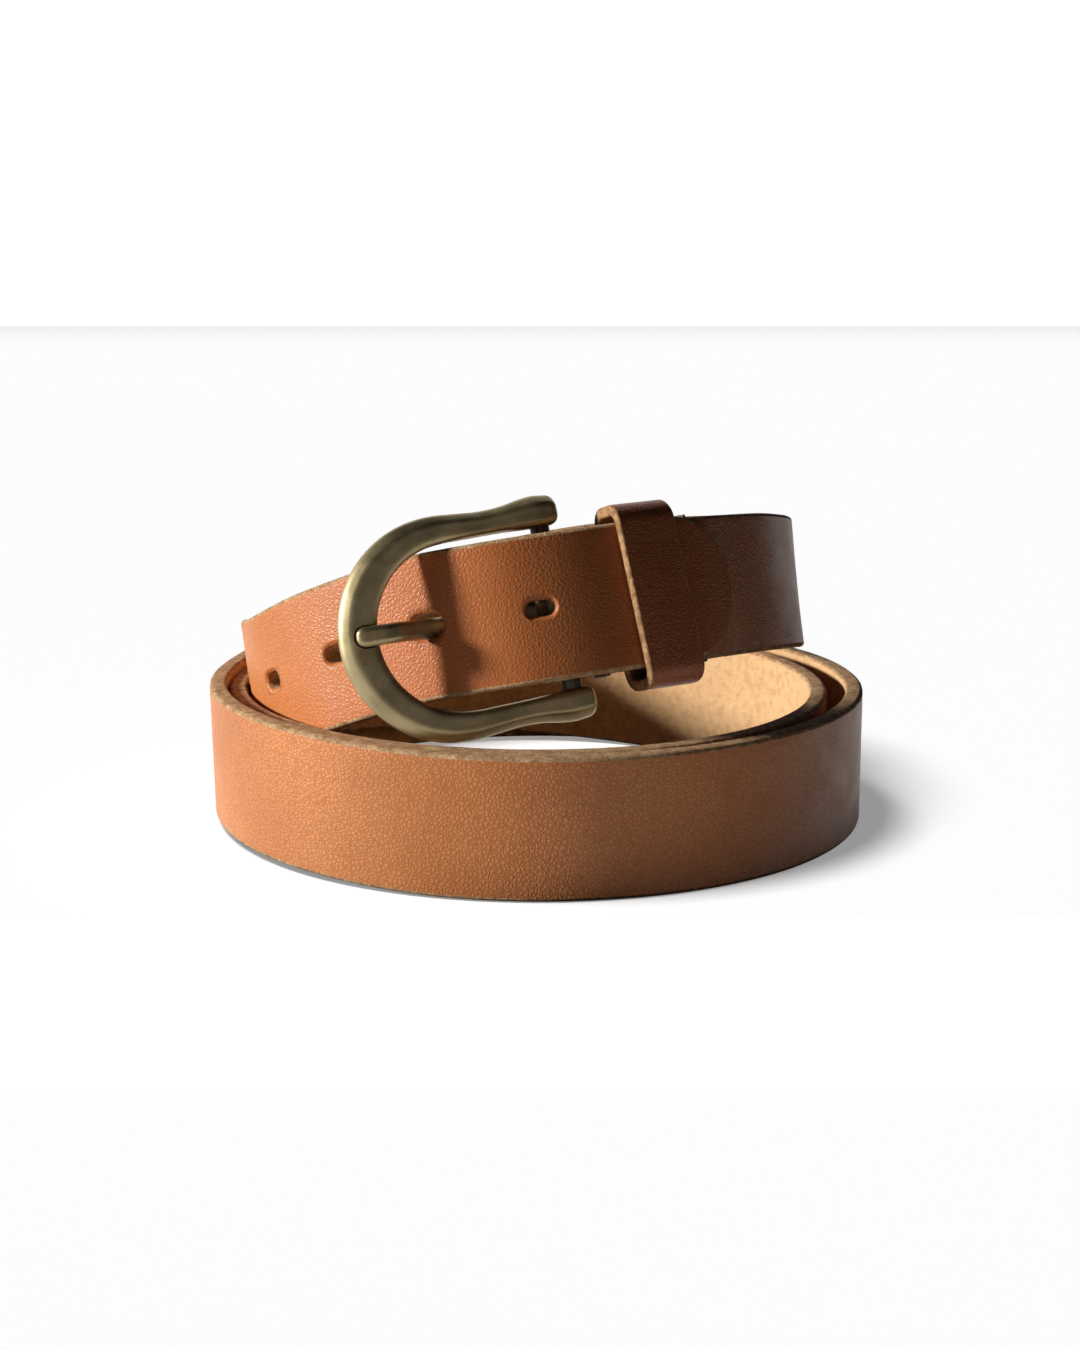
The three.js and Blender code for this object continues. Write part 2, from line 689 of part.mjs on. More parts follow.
function prong() {
  const width = PRONG_WIDTH / 2;
  const height = PRONG_THICKNESS / 2;
  const section = [
    [width - PRONG_BEVEL, height],
    [width, height - PRONG_BEVEL],
    [width, PRONG_BEVEL - height],
    [width - PRONG_BEVEL, -height],
    [PRONG_BEVEL - width, -height],
    [-width, PRONG_BEVEL - height],
    [-width, height - PRONG_BEVEL],
    [PRONG_BEVEL - width, height],
  ];
  const sectionAt = (middle, tangent, scale) => section.map(([across, up]) => (
    new THREE.Vector3(
      middle.x - tangent.y * up * scale,
      middle.y + tangent.x * up * scale,
      across * scale,
    )
  ));
  const rings = [];
  const steps = 22;
  for (let i = 0; i <= steps; i++) {
    rings.push(sectionAt(prongLine.getPoint(i / steps), prongLine.getTangent(i / steps), 1));
  }
  // The tip is rounded off.
  const heading = prongLine.getTangent(1);
  for (const turn of [25, 45, 65, 80]) {
    const reach = width * Math.sin(radians(turn));
    const middle = prongLine.getPoint(1).addScaledVector(heading, reach);
    rings.push(sectionAt(middle, heading, Math.cos(radians(turn))));
  }
  const curl = new THREE.Shape();
  curl.absarc(0, 0, CURL_OUTER_RADIUS, 0, 2 * Math.PI, false);
  const hole = new THREE.Path();
  hole.absarc(0, 0, CURL_INNER_RADIUS, 0, 2 * Math.PI, true);
  curl.holes.push(hole);
  const settings = { depth: PRONG_WIDTH, bevelEnabled: false, curveSegments: 24 };
  const curlGeometry = new THREE.ExtrudeGeometry(curl, settings).translate(0, 0, -PRONG_WIDTH / 2);
  return toGeometry(toSolid(skin(rings)).add(toSolid(curlGeometry)));
}

// ---------------------------------------------------------------- keeper and staple

const keeperFrontRadius = TIP_LAYER_RADIUS + STRAP_THICKNESS / 2 + LAYER_GAP + KEEPER_THICKNESS / 2;
const keeperBackRadius = BUCKLE_LAYER_RADIUS - STRAP_THICKNESS / 2 - LAYER_GAP - KEEPER_THICKNESS / 2;
const keeperHalfAngle = THREE.MathUtils.radToDeg(KEEPER_WIDTH / 2 / TIP_LAYER_RADIUS);
const keeperSkewPerMm = KEEPER_SKEW / TIP_LAYER_RADIUS;

// The middle line of the keeper's strip, as across and radius, from its seam round to its seam.
function keeperLine() {
  const corner = KEEPER_CORNER_RADIUS;
  const side = KEEPER_HALF_HEIGHT - corner;
  const corners = [
    [side, keeperBackRadius + corner, -90],
    [side, keeperFrontRadius - corner, 0],
    [-side, keeperFrontRadius - corner, 90],
    [-side, keeperBackRadius + corner, 180],
  ];
  const line = [[KEEPER_SEAM_GAP / 2, keeperBackRadius, -90]];
  for (const [across, radius, start] of corners) {
    for (let turn = start; turn <= start + 90; turn += 18) {
      line.push([
        across + corner * Math.cos(radians(turn)) - KEEPER_DROP,
        radius + corner * Math.sin(radians(turn)),
        turn,
      ]);
    }
  }
  line.push([-KEEPER_SEAM_GAP / 2, keeperBackRadius, 270]);
  return line;
}

function keeperLoop() {
  const half = KEEPER_THICKNESS / 2;
  const rings = keeperLine().map(([across, radius, turn]) => {
    const dAcross = Math.cos(radians(turn)) * half;
    const dRadius = Math.sin(radians(turn)) * half;
    const edge = (side, angleSide) => {
      const place = across + side * dAcross;
      const angle = KEEPER_ANGLE + angleSide * keeperHalfAngle - place * keeperSkewPerMm;
      return loopPoint(angle, radius + side * dRadius, place);
    };
    return [edge(1, -1), edge(1, 0), edge(1, 1), edge(-1, 1), edge(-1, 0), edge(-1, -1)];
  });
  return toGeometry(toSolid(skin(rings)).subtract(stapleSolid(STAPLE_CLEARANCE)));
}

// The staple's crown lies in the keeper's back face and its two legs go through the leather.
function stapleSolid(growth) {
  const size = STAPLE_WIRE / 2 + growth;
  const halfTurn = THREE.MathUtils.radToDeg(size / keeperBackRadius);
  const from = KEEPER_ANGLE - halfTurn;
  const to = KEEPER_ANGLE + halfTurn;
  const backFace = keeperBackRadius - KEEPER_THICKNESS / 2;
  const frontFace = keeperBackRadius + KEEPER_THICKNESS / 2;
  const crownBottom = growth > 0 ? backFace - 0.2 : backFace + 0.05;
  const legTop = growth > 0 ? frontFace + 0.2 : frontFace - 0.1;
  const crownTop = backFace + 0.05 + STAPLE_WIRE + growth;
  const span = STAPLE_HALF_SPAN;
  return loopBlock(crownBottom, crownTop, from, to, -span - size, span + size)
    .add(loopBlock(crownBottom, legTop, from, to, -span - size, -span + size))
    .add(loopBlock(crownBottom, legTop, from, to, span - size, span + size));
}

// ---------------------------------------------------------------- assembly

const belt = new THREE.Group();

function addPart(name, geometry, partMaterial, matrix = new THREE.Matrix4()) {
  const mesh = new THREE.Mesh(geometry, partMaterial);
  mesh.name = name;
  mesh.applyMatrix4(matrix);
  belt.add(mesh);
}

addPart('strap', strap(), grainLeather);
addPart('stitch_row_bar_side', stitchRow(BAR_SIDE_ROW, BAR_SIDE_ROW_RADIUS), waxedThread);
addPart('stitch_row_keeper_side', stitchRow(KEEPER_SIDE_ROW, KEEPER_SIDE_ROW_RADIUS), waxedThread);
addPart('buckle_frame', buckleFrame(), antiqueBrass, barFrame(FRAME_LIFT));
addPart('heel_bar', heelBar(), plainSteel, barFrame(FRAME_LIFT));
addPart('prong', prong(), antiqueBrass, barFrame(0, PRONG_SKEW));
addPart('keeper_loop', keeperLoop(), keeperLeather);
addPart('keeper_staple', toGeometry(stapleSolid(0)), plainSteel);

export default belt;
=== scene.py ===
"""A tan leather belt, buckled and wound into a coil, on a white floor.

The shapes are worked out in millimetres, in the CAD model's frame, and written to meshes in metres.
"""

import json
import math

import bpy
import numpy as np
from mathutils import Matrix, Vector

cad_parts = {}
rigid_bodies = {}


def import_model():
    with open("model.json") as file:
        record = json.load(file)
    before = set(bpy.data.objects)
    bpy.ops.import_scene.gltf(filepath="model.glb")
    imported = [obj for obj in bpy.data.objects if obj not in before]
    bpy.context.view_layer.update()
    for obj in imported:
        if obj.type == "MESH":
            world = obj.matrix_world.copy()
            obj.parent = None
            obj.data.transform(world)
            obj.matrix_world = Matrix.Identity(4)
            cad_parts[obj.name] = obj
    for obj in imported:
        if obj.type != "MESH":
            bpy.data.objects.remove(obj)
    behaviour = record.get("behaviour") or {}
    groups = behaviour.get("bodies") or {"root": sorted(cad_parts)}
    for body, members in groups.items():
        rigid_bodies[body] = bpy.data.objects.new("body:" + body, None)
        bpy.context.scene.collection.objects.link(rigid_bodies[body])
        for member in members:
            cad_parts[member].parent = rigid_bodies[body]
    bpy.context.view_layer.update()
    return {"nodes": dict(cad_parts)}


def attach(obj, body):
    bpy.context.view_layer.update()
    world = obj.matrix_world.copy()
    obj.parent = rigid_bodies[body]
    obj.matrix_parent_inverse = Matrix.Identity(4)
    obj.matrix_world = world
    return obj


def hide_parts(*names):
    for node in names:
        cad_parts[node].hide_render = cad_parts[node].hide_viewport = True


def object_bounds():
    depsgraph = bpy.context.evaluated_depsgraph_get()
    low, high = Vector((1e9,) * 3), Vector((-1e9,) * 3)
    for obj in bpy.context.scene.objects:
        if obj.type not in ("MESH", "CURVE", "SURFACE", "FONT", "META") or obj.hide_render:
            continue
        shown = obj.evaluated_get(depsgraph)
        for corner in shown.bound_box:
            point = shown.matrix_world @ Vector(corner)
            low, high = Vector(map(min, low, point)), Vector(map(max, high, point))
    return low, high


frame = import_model()

MM = 0.001

# ------------------------------------------------------------------ the belt's driving sizes

STRAP_WIDTH = 30.0
STRAP_THICKNESS = 3.8
LAYER_GAP = 0.3
SKIVED_THICKNESS = 2.4

LOOP_CENTRE = np.array([-4.5, -1.0, 43.0])
LOOP_LEAN = 16.0
LOOP_LEAN_HEADING = 124.0
TIP_LAYER_RADIUS = 60.1
BUCKLE_LAYER_RADIUS = TIP_LAYER_RADIUS - STRAP_THICKNESS - LAYER_GAP

BAR_ANGLE = -81.0
TIP_ANGLE = -42.2
TIP_LAYER_START_ANGLE = -83.0
BUCKLE_LAYER_END_ANGLE = -36.0
TIP_TO_FIRST_HOLE = 45.3
HOLE_PITCH = 23.4
HOLE_COUNT = 5
# Length and width; the hole that the prong is in, counted from the tip, is stretched.
HOLE_SIZE = (5.9, 3.3)
PRONG_HOLE = 1
PRONG_HOLE_SIZE = (7.2, 5.0)

BAR_RADIUS = 2.0
BAR_HALF_LENGTH = 20.0
BAR_BORE_CLEARANCE = 0.06
BAR_SKEW = 3.0
PRONG_SKEW = 0.8
FOLD_MID_RADIUS = BAR_RADIUS + 0.3 + STRAP_THICKNESS / 2
BAR_LOOP_RADIUS = BUCKLE_LAYER_RADIUS - FOLD_MID_RADIUS
PRONG_SLOT_WIDTH = 5.6
PRONG_SLOT_DEPTH = 12.0
# Degrees round the upper loop from the bar.
PRONG_SLOT_FROM = -10.0
PRONG_SLOT_TO = 6.2

FRAME_OUTER_HALF_WIDTH = 23.2
FRAME_INNER_HALF_WIDTH = 17.3
BOW_OUTER_CENTRE = 22.9
BOW_INNER_CENTRE = 20.9
FRAME_HALF_THICKNESS = 2.25
ARM_END_HALF_THICKNESS = 2.9
FRAME_LIFT = 7.5
NOTCH_DEPTH = 1.3
NOTCH_END = 43.4
NOTCH_LENGTH = 11.0
NOTCH_CLEARANCE = 0.35

PRONG_WIDTH = 4.1
PRONG_THICKNESS = 2.4
CURL_OUTER_RADIUS = 4.4
CURL_INNER_RADIUS = BAR_RADIUS + 0.3

KEEPER_ANGLE = BAR_ANGLE + 18.7
KEEPER_SKEW = 3.4
KEEPER_WIDTH = 12.4
KEEPER_THICKNESS = 2.3
# How much closer than LAYER_GAP the keeper's back lies to the buckle layer, to clear the fold.
KEEPER_EASE = 0.12
KEEPER_HALF_HEIGHT = 18.05
KEEPER_DROP = 0.4
KEEPER_CORNER_RADIUS = 3.2

# Each stitch row: its distance from the bar, and the radius of the folded-back layer there.
BAR_SIDE_ROW = 7.6
BAR_SIDE_ROW_RADIUS = BUCKLE_LAYER_RADIUS - 6.1
KEEPER_SIDE_ROW = 31.0
KEEPER_SIDE_ROW_RADIUS = BUCKLE_LAYER_RADIUS - 4.6
STITCHES_PER_ROW = 6
STITCH_PITCH = 4.8
THREAD_RADIUS = 0.36
# How far each row of thread lies below the faces of the leather, and how much deeper between
# stitches.
THREAD_INSET_OUTER = 0.3
THREAD_INSET_INNER = 0.1
THREAD_WAVE_OUTER = 0.25
THREAD_WAVE_INNER = 0.45
STEPS_PER_STITCH = 8

# ------------------------------------------------------------------ frames and places


def unit(vector):
    return vector / np.linalg.norm(vector)


def heading(degrees):
    """The cosine and sine of an angle in degrees."""
    return math.cos(math.radians(degrees)), math.sin(math.radians(degrees))


lean_cos, lean_sin = heading(LOOP_LEAN)
lean_x, lean_y = heading(LOOP_LEAN_HEADING)
LOOP_AXIS = np.array([lean_sin * lean_x, lean_sin * lean_y, lean_cos])
LOOP_RIGHT = unit(np.array([1.0, 0.0, 0.0]) - LOOP_AXIS * LOOP_AXIS[0])
LOOP_BACK = np.cross(LOOP_AXIS, LOOP_RIGHT)


def loop_outward(angle):
    """The direction straight out from the upper loop's axis at an angle round it."""
    c, s = heading(angle)
    return LOOP_RIGHT * c + LOOP_BACK * s


def loop_point(angle, radius, across=0.0):
    return LOOP_CENTRE + loop_outward(angle) * radius + LOOP_AXIS * across


def angle_from_bar(distance):
    return BAR_ANGLE + math.degrees(distance / BUCKLE_LAYER_RADIUS)


def turned(axis, degrees):
    """A 3 by 3 rotation about y or z."""
    c, s = heading(degrees)
    rows = {
        "y": [[c, 0, s], [0, 1, 0], [-s, 0, c]],
        "z": [[c, -s, 0], [s, c, 0], [0, 0, 1]],
    }
    return np.array(rows[axis], float)


def bar_frame(lift=0.0, skew=BAR_SKEW):
    """The heel bar's frame as columns: x towards the bow, y outwards, z along the bar."""
    outward = loop_outward(BAR_ANGLE)
    basis = np.column_stack([np.cross(outward, LOOP_AXIS), outward, LOOP_AXIS])
    return basis @ turned("y", skew) @ turned("z", lift)


BAR_POINT = loop_point(BAR_ANGLE, BAR_LOOP_RADIUS)


def from_bar(points, lift=0.0, skew=BAR_SKEW):
    """Points in the bar's frame, moved to the belt's frame."""
    return np.asarray(points, float) @ bar_frame(lift, skew).T + BAR_POINT


# ------------------------------------------------------------------ smooth curves


class Curve:
    """A smooth curve through rows of values, with each slope taken from its two neighbours.

    Stations are spaced by the distance between the rows' first three values, or between the
    rows of spacing.
    """

    def __init__(self, values, spacing=None):
        self.values = np.asarray(values, float)
        places = self.values[:, :3] if spacing is None else np.asarray(spacing, float)
        steps = np.linalg.norm(np.diff(places, axis=0), axis=1)
        self.at_station = np.concatenate([[0.0], np.cumsum(steps)])
        self.length = self.at_station[-1]
        chord = np.diff(self.values, axis=0) / steps[:, None]
        before, after = steps[:-1, None], steps[1:, None]
        inner = (chord[:-1] * after + chord[1:] * before) / (before + after)
        self.slopes = np.concatenate([chord[:1], inner, chord[-1:]])

    def span(self, distance):
        distance = np.clip(np.asarray(distance, float), 0.0, self.length)
        i = np.searchsorted(self.at_station, distance, side="right") - 1
        i = np.clip(i, 0, len(self.at_station) - 2)
        width = self.at_station[i + 1] - self.at_station[i]
        t = (distance - self.at_station[i]) / width
        return i, width[..., None], t[..., None]

    def at(self, distance):
        i, w, t = self.span(distance)
        v, m = self.values, self.slopes
        return (
            v[i] * (1 + 2 * t) * (1 - t) ** 2
            + m[i] * w * t * (1 - t) ** 2
            + v[i + 1] * t * t * (3 - 2 * t)
            + m[i + 1] * w * t * t * (t - 1)
        )

    def slope(self, distance):
        i, w, t = self.span(distance)
        v, m = self.values, self.slopes
        return (
            v[i] * (6 * t * t - 6 * t) / w
            + m[i] * (3 * t * t - 4 * t + 1)
            + v[i + 1] * (6 * t - 6 * t * t) / w
            + m[i + 1] * (3 * t * t - 2 * t)
        )


def rows_unit(rows):
    return rows / np.linalg.norm(rows, axis=-1, keepdims=True)


# ------------------------------------------------------------------ the strap's route

# The folded-back end, from its cut edge to the bar: distance from the bar, and radius.
FOLD_BACK = [
    (37, BUCKLE_LAYER_RADIUS - 3.6),
    (34, BUCKLE_LAYER_RADIUS - 3.7),
    (31, BUCKLE_LAYER_RADIUS - 4.6),
    (28, BUCKLE_LAYER_RADIUS - 5.95),
    (19, BUCKLE_LAYER_RADIUS - 5.95),
    (10, BUCKLE_LAYER_RADIUS - 5.95),
    (7, BUCKLE_LAYER_RADIUS - 6.1),
]

# The ring: turn in degrees, radius of the middle line, height, and outward lean at the top.
RING = [
    (9, 58.3, 50.8, -5), (20, 60.9, 49, -3), (30, 65.4, 47.2, 0), (40, 70.8, 45.7, 0),
    (51, 73.5, 44.2, 0), (64, 73.5, 42.4, 0), (79, 73.1, 39.8, 0), (95, 72.5, 36, 0),
    (115, 72.5, 28.6, 0), (136, 72.6, 21.6, 0), (157, 72.8, 17.3, 0), (180, 72.8, 16.3, 1),
    (205, 72.3, 16.2, 1), (230, 71.9, 15.9, 0), (252, 71.7, 15.25, 0), (270, 71.6, 15.05, 0),
    (292, 71.6, 15, 0), (315, 71.7, 15, 0), (338, 71.7, 15, 0), (360, 71.6, 15, 0),
    (382, 70.9, 15, 0), (405, 69.4, 15, 0), (428, 68.5, 15, 0), (452, 68.3, 15, 0),
    (480, 68.3, 15, 0), (510, 68.4, 15, 0), (540, 68.5, 15, 0), (565, 68.1, 15, 0),
    (590, 67.7, 15, 0), (612, 67.5, 15, 0), (630, 67.4, 15, 0), (650, 67.2, 15, 0),
    (672, 66.4, 15, 0), (696, 64.8, 15, 0), (720, 63, 15, 0), (745, 61.6, 15, 0),
    (770, 61.8, 15.15, 0), (795, 63.2, 15.8, 0), (820, 64, 18.2, 0), (848, 64.1, 21.6, 2),
    (876, 64.2, 25, 4), (900, 64.2, 28.8, 6), (922, 63.2, 34.2, 6),
]

# Under the bow the tip end is pressed in and hangs lower: angle, dip inwards and drop.
UNDER_BOW = [
    (-139, 2.6, 2.9), (-128, 3.4, 1.7), (-117, 3.3, 0.6),
    (-108, 2.5, 0), (-100, 1.3, 0), (-92, 0.3, 0),
]
LOOP_STATION_STEP = 10


def strap_stations():
    """Rows of place, width direction and thickness."""
    rows = []

    def add(point, across, thickness=STRAP_THICKNESS):
        rows.append([*point, *across, thickness])

    for distance, radius in FOLD_BACK:
        add(loop_point(angle_from_bar(distance), radius), LOOP_AXIS, SKIVED_THICKNESS)
    add(loop_point(angle_from_bar(3.5), BUCKLE_LAYER_RADIUS - 7.4), LOOP_AXIS, 3.2)
    for i in range(9):
        c, s = heading(-90 + 22.5 * i)
        place = from_bar([c * FOLD_MID_RADIUS, s * FOLD_MID_RADIUS, 0])
        add(place, bar_frame()[:, 2])
    angle = BAR_ANGLE + LOOP_STATION_STEP / 2
    while angle <= BUCKLE_LAYER_END_ANGLE:
        add(loop_point(angle, BUCKLE_LAYER_RADIUS), LOOP_AXIS)
        angle += LOOP_STATION_STEP
    add(loop_point(-22, BUCKLE_LAYER_RADIUS + 2.4), LOOP_AXIS)
    add(loop_point(-7, BUCKLE_LAYER_RADIUS + 4.9), LOOP_AXIS)
    for turn, radius, height, lean in RING:
        c, s = heading(turn)
        up, out = heading(lean)
        add([radius * c, radius * s, height], [out * c, out * s, up])
    for angle, dip, drop in UNDER_BOW:
        add(loop_point(angle, TIP_LAYER_RADIUS - dip, -drop), LOOP_AXIS)
    angle = TIP_LAYER_START_ANGLE
    while angle < TIP_ANGLE - 4:
        add(loop_point(angle, TIP_LAYER_RADIUS), LOOP_AXIS)
        angle += LOOP_STATION_STEP
    add(loop_point(TIP_ANGLE, TIP_LAYER_RADIUS), LOOP_AXIS)
    return rows


route = Curve(strap_stations())


def strap_frames(distance):
    """Points, directions along and across, the grain side's normal, and thickness."""
    values = route.at(distance)
    along = rows_unit(route.slope(distance)[..., :3])
    across = values[..., 3:6]
    across = rows_unit(across - along * np.sum(across * along, axis=-1, keepdims=True))
    return values[..., :3], along, across, np.cross(along, across), values[..., 6]


def strap_place(distance, across, height):
    """A place in the strap: mm along it, mm across it, and height from -1 flesh to 1 grain."""
    point, _, width_way, grain, thickness = strap_frames(distance)
    depth = np.asarray(height) * thickness / 2
    return point + width_way * np.asarray(across)[..., None] + grain * depth[..., None]


# ------------------------------------------------------------------ making meshes

GRAIN, EDGE, FLESH = 0, 1, 2


def make_mesh(name, rings, materials=(), closed=False, faces_slot=None):
    """A mesh from rings of points in mm. closed joins the last ring to the first."""
    rings = np.asarray(rings, float)
    count, points = rings.shape[:2]
    faces = []
    slots = []
    for i in range(count if closed else count - 1):
        here, after = i * points, (i + 1) % count * points
        for j in range(points):
            k = (j + 1) % points
            faces.append((here + j, here + k, after + k, after + j))
            slots.append(faces_slot[j] if faces_slot else 0)
    if not closed:
        last = (count - 1) * points
        faces += [tuple(range(points - 1, -1, -1)), tuple(range(last, last + points))]
        slots += [EDGE, EDGE] if faces_slot else [0, 0]
    mesh = bpy.data.meshes.new(name)
    mesh.from_pydata([tuple(p) for p in rings.reshape(-1, 3) * MM], [], faces)
    for material in materials:
        mesh.materials.append(material)
    mesh.polygons.foreach_set("material_index", slots)
    obj = bpy.data.objects.new(name, mesh)
    bpy.context.scene.collection.objects.link(obj)
    face_out(obj)
    return obj


def face_out(obj):
    """Turns the faces over when the closed mesh encloses a negative volume."""
    mesh = obj.data
    mesh.update()
    mesh.calc_loop_triangles()
    corners = np.zeros(len(mesh.loop_triangles) * 3, np.int32)
    mesh.loop_triangles.foreach_get("vertices", corners)
    co = np.zeros(len(mesh.vertices) * 3)
    mesh.vertices.foreach_get("co", co)
    a, b, c = co.reshape(-1, 3)[corners.reshape(-1, 3)].transpose(1, 0, 2)
    if np.einsum("ij,ij->", a, np.cross(b, c)) < 0:
        mesh.flip_normals()


def carve(obj, cutter, operation="DIFFERENCE"):
    """Cuts the cutter from the object, or joins it on, and removes the cutter."""
    for material in obj.data.materials:
        cutter.data.materials.append(material)
    modifier = obj.modifiers.new("carve", "BOOLEAN")
    modifier.operation = operation
    modifier.object = cutter
    modifier.solver = "MANIFOLD"
    modifier.material_mode = "INDEX"
    graph = bpy.context.evaluated_depsgraph_get()
    carved = bpy.data.meshes.new_from_object(obj.evaluated_get(graph))
    carved.name = obj.name
    obj.modifiers.remove(modifier)
    obj.data = carved
    bpy.data.objects.remove(cutter)


def smooth(obj, angle=35):
    """Smooth shading that keeps sharp edges, and large faces flat beside small ones."""
    for polygon in obj.data.polygons:
        polygon.use_smooth = True
    obj.data.set_sharp_from_angle(angle=math.radians(angle))
    modifier = obj.modifiers.new("normals", "WEIGHTED_NORMAL")
    modifier.keep_sharp = True


def declare(obj, body, node):
    """Puts a piece on the body it rides on, and hides the CAD node it stands for."""
    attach(obj, body)
    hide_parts(node)


def rounded_box(half_width, half_height, radius, steps=4):
    """The corners of a rounded rectangle as (width, height) pairs, anticlockwise."""
    outline = []
    for corner, (x, y) in enumerate([(1, 1), (-1, 1), (-1, -1), (1, -1)]):
        for step in range(steps + 1):
            c, s = heading(90 * corner + 90 * step / steps)
            outline.append((
                x * (half_width - radius) + radius * c,
                y * (half_height - radius) + radius * s,
            ))
    return outline


def closed_tube(name, path, radius, material, sides=10):
    """A round tube along a closed path of points in mm."""
    path = np.asarray(path, float)
    along = rows_unit(np.roll(path, -1, axis=0) - np.roll(path, 1, axis=0))
    side = np.empty_like(path)
    reference = np.cross(along[0], [0.31, 0.77, 0.55])
    for i, direction in enumerate(along):
        reference = unit(reference - direction * np.dot(reference, direction))
        side[i] = reference
    other = np.cross(along, side)
    turns = np.arange(sides) * 2 * math.pi / sides
    rings = (
        path[:, None]
        + side[:, None] * np.cos(turns)[None, :, None] * radius
        + other[:, None] * np.sin(turns)[None, :, None] * radius
    )
    obj = make_mesh(name, rings, [material], closed=True)
    smooth(obj)
    return obj


# ------------------------------------------------------------------ material helpers


# Painted shade darkens the strap's end in place of the shade that falls on it, in metres from its
# tip: fully up to the first distance, less up to the second, and the warmer, redder painted shade
# fades out at the third.
SHADE_PAINTED_TO = 0.034
SHADE_PAINTED_MOST = 0.07
SHADE_PAINTED_FROM = 0.15


class Shader:
    """A short way to write a node material."""

    def __init__(self, name):
        self.material = bpy.data.materials.new(name)
        self.material.use_nodes = True
        self.tree = self.material.node_tree
        self.bsdf = self.tree.nodes["Principled BSDF"]

    def node(self, kind, inputs=None, **settings):
        node = self.tree.nodes.new("ShaderNode" + kind)
        for key, value in settings.items():
            setattr(node, key, value)
        for key, value in (inputs or {}).items():
            self.put(node.inputs[key], value)
        return node

    def put(self, socket, value):
        if isinstance(value, bpy.types.NodeSocket):
            self.tree.links.new(value, socket)
        else:
            socket.default_value = value

    def set(self, **sockets):
        for key, value in sockets.items():
            self.put(self.bsdf.inputs[key.replace("_", " ")], value)

    def object_place(self):
        return self.node("TexCoord").outputs["Object"]

    def noise(self, scale, detail=3.0, roughness=0.55, distortion=0.0):
        return self.node("TexNoise", {
            "Vector": self.object_place(), "Scale": scale, "Detail": detail,
            "Roughness": roughness, "Distortion": distortion,
        }).outputs["Fac"]

    def cells(self, scale, vector=None, feature="F1"):
        return self.node("TexVoronoi", {
            "Vector": vector or self.object_place(), "Scale": scale,
        }, feature=feature).outputs["Distance"]

    def ramp(self, value, low, high, start=0.0, end=1.0):
        """Goes smoothly from start to end while the value goes from low to high."""
        return self.node("MapRange", {
            "Value": value, "From Min": low, "From Max": high, "To Min": start, "To Max": end,
        }, interpolation_type="SMOOTHSTEP").outputs["Result"]

    def maths(self, operation, a, b=0.0):
        return self.node("Math", {0: a, 1: b}, operation=operation).outputs[0]

    def blend(self, factor, first, second):
        """A mix of two colours, each an (r, g, b) or a socket."""
        mix = self.node("Mix", data_type="RGBA")
        self.put(mix.inputs[0], factor)
        self.put(mix.inputs[6], colour(first))
        self.put(mix.inputs[7], colour(second))
        return mix.outputs[2]

    def bump(self, height, distance, strength=1.0):
        node = self.node("Bump", {"Height": height, "Distance": distance, "Strength": strength})
        return node.outputs["Normal"]


def colour(value):
    return (*value, 1.0) if isinstance(value, tuple) else value


def grain_leather(name, tone, roughness=0.4, shade_painted_end=False):
    """Full-grain leather: finely pebbled, a little darker in its creases, with a satin gloss.

    The last argument paints shade on the end that goes through the keeper, darker and redder by the
    strap's distance from its tip.
    """
    s = Shader(name)
    bend = s.node("TexNoise", {"Vector": s.object_place(), "Scale": 700.0, "Detail": 2.0})
    shift = s.node("VectorMath", {0: bend.outputs["Color"], 1: (0.0004,) * 3}, operation="MULTIPLY")
    warped = s.node("VectorMath", {0: s.object_place(), 1: shift.outputs[0]}, operation="ADD")
    border = s.cells(1150.0, warped.outputs[0], "DISTANCE_TO_EDGE")
    pebbles = s.ramp(border, 0.0, 0.3)
    fine = s.noise(3600.0, 2.0)
    broad = s.noise(30.0, 3.0)
    patches = s.noise(140.0, 4.0)
    light = tuple(c * 1.08 for c in tone)
    dark = tuple(c * d for c, d in zip(tone, (0.86, 0.8, 0.76)))
    deep = tuple(c * d for c, d in zip(tone, (0.55, 0.45, 0.36)))
    base = s.blend(s.ramp(broad, 0.3, 0.7), dark, light)
    base = s.blend(s.ramp(patches, 0.4, 0.75, 0.0, 0.22), base, dark)
    base = s.blend(s.ramp(pebbles, 0.0, 0.8, 0.55, 0.0), base, deep)
    # Painted shade: the end through the keeper is blended to a redder, then a darker tone towards
    # its tip.
    if shade_painted_end:
        distance = s.node("Attribute", attribute_name="tip_distance").outputs["Fac"]
        painted_shade_tone = tuple(c * d for c, d in zip(tone, (0.8, 0.6, 0.42)))
        base = s.blend(s.ramp(distance, SHADE_PAINTED_MOST, SHADE_PAINTED_FROM, 0.9, 0.0), base, painted_shade_tone)
        base = s.blend(s.ramp(distance, SHADE_PAINTED_TO, SHADE_PAINTED_MOST, 0.75, 0.0), base, deep)
    height = s.maths("ADD", s.maths("MULTIPLY", fine, 0.25), pebbles)
    rough = s.ramp(patches, 0.25, 0.8, roughness, roughness + 0.12)
    s.set(Base_Color=base, Roughness=rough, Normal=s.bump(height, 0.0001, 0.5))
    s.set(Specular_IOR_Level=0.32, Sheen_Weight=0.05, Sheen_Roughness=0.5)
    return s.material


def raw_edge(name, light, dark):
    """The cut edge of the leather: dry, fibrous and uneven."""
    s = Shader(name)
    fibres = s.noise(1400.0, 5.0, 0.75, distortion=1.5)
    clumps = s.noise(420.0, 4.0, 0.7)
    tone = s.maths("ADD", s.maths("MULTIPLY", fibres, 0.55), s.maths("MULTIPLY", clumps, 0.45))
    base = s.blend(s.ramp(tone, 0.4, 0.62), dark, light)
    s.set(Base_Color=base, Roughness=0.95, Specular_IOR_Level=0.15)
    s.set(Normal=s.bump(tone, 0.0012, 1.0))
    return s.material


